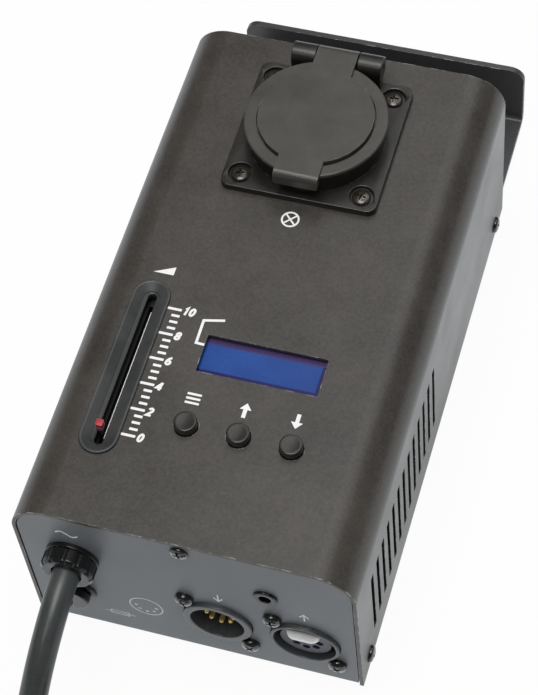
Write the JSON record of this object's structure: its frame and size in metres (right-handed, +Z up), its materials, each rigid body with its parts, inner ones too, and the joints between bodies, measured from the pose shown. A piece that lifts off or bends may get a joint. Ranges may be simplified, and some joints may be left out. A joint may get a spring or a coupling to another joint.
{
  "type": "dimmer pack",
  "caption": "Single-channel stage dimmer pack: folded steel case with lidded mains outlet, fader, display, buttons, control sockets, mains lead and hanging bracket.",
  "frame": {"origin": "on the surface under the feet, at the middle of the box of the pack with its bracket, gland and screws", "axes": "+X to the right facing the socket end, +Y to the rear, towards the bracket, +Z up"},
  "size_m": [0.123, 0.4172, 0.0865],
  "materials": {
    "cover_paint": "fine satin powder coat, warm dark grey-brown",
    "chassis_paint": "satin powder coat, cool dark grey",
    "black_plastic": "moulded black thermoplastic, faint grain",
    "grey_plastic": "moulded grey plastic",
    "pale_ceramic": "matt off-white thermoset",
    "black_steel": "blackened steel with worn edges",
    "bright_steel": "plain zinc-plated or drawn steel",
    "spring_brass": "tarnish-free sprung brass",
    "gold_contact": "thin gold plating",
    "foot_rubber": "matt black rubber",
    "lead_sheath": "satin black flexible sheath",
    "red_plastic": "small moulded red cap",
    "blue_pane": "blue filter pane over the display",
    "board_green": "glass-fibre board with solder resist",
    "core_grey": "varnished laminations and taped winding",
    "choke_yellow": "powder-iron ring under enamelled wire",
    "glass_tube": "clear glass tube with metal end caps"
  },
  "bodies": {
    "pack": {"top_cover": "cover_paint", "base_chassis": "chassis_paint", "hanging_bracket": "cover_paint", "side_screw_front_left": "black_steel", "side_screw_front_right": "black_steel", "side_screw_rear_left": "black_steel", "side_screw_rear_right": "black_steel", "top_screw_front": "black_steel", "top_screw_rear": "black_steel", "foot_front_left": "foot_rubber", "foot_front_right": "foot_rubber", "foot_rear_left": "foot_rubber", "foot_rear_right": "foot_rubber", "bracket_screw_left": "black_steel", "bracket_screw_right": "black_steel", "outlet_housing": "black_plastic", "contact_plate": "pale_ceramic", "earth_strap": "spring_brass", "lid_hinge_pin": "bright_steel", "lid_spring": "bright_steel", "outlet_screw_front_left": "black_steel", "outlet_screw_front_right": "black_steel", "outlet_screw_rear_left": "black_steel", "outlet_screw_rear_right": "black_steel", "fader_bezel": "black_plastic", "slide_potentiometer": "bright_steel", "display_window": "blue_pane", "display_module": "black_plastic", "control_board": "board_green", "power_board": "board_green", "transformer": "core_grey", "choke": "choke_yellow", "heatsink": "bright_steel", "triac": "black_plastic", "in_socket_shell": "black_steel", "in_socket_contacts": "gold_contact", "out_socket_shell": "black_steel", "out_socket_insert": "grey_plastic", "socket_screw_in_upper": "black_steel", "socket_screw_in_lower": "black_steel", "socket_screw_out_upper": "black_steel", "socket_screw_out_lower": "black_steel", "small_jack": "black_plastic", "gland_body": "black_plastic", "gland_cap": "black_plastic", "gland_locknut": "black_plastic", "fuse_holder": "black_plastic", "cord_lead": "lead_sheath", "cord_coil": "lead_sheath", "cord_tail": "lead_sheath", "plug": "lead_sheath"},
    "lid": {"outlet_lid": "black_plastic"},
    "fader": {"fader_lever": "grey_plastic", "fader_tip": "red_plastic"},
    "menu_button": {"button_menu": "black_plastic"},
    "up_button": {"button_up": "black_plastic"},
    "down_button": {"button_down": "black_plastic"},
    "latch": {"out_socket_latch": "bright_steel"},
    "fuse_carrier": {"fuse": "glass_tube"},
    "fuse_turn_cap": {"fuse_cap": "black_plastic"}
  },
  "joints": [
    {"name": "lid_hinge", "type": "hinge", "parent": "pack", "child": "lid", "pos_m": [0, 0.06375, 0.0827], "axis": [-1, 0, 0], "range_deg": [0, 110], "stiffness_Nm_per_rad": 0.006, "springref_deg": -51.57},
    {"name": "fader_slide", "type": "slide", "parent": "pack", "child": "fader", "axis": [0, 1, 0], "range_m": [0, 0.045]},
    {"name": "menu_press", "type": "slide", "parent": "pack", "child": "menu_button", "axis": [0, 0, -1], "range_m": [0, 0.0008], "stiffness_N_per_m": 800, "springref_m": -0.0005},
    {"name": "up_press", "type": "slide", "parent": "pack", "child": "up_button", "axis": [0, 0, -1], "range_m": [0, 0.0008], "stiffness_N_per_m": 800, "springref_m": -0.0005},
    {"name": "down_press", "type": "slide", "parent": "pack", "child": "down_button", "axis": [0, 0, -1], "range_m": [0, 0.0008], "stiffness_N_per_m": 800, "springref_m": -0.0005},
    {"name": "latch_press", "type": "slide", "parent": "pack", "child": "latch", "axis": [0, 1, 0], "range_m": [0, 0.0015], "stiffness_N_per_m": 1000, "springref_m": -0.0008},
    {"name": "fuse_pull", "type": "slide", "parent": "pack", "child": "fuse_carrier", "axis": [0, -1, 0], "range_m": [0, 0.024]},
    {"name": "fuse_cap_turn", "type": "hinge", "parent": "fuse_carrier", "child": "fuse_turn_cap", "pos_m": [-0.038, -0.10975, 0.0265], "axis": [0, -1, 0], "range_deg": [0, 45]}
  ]
}
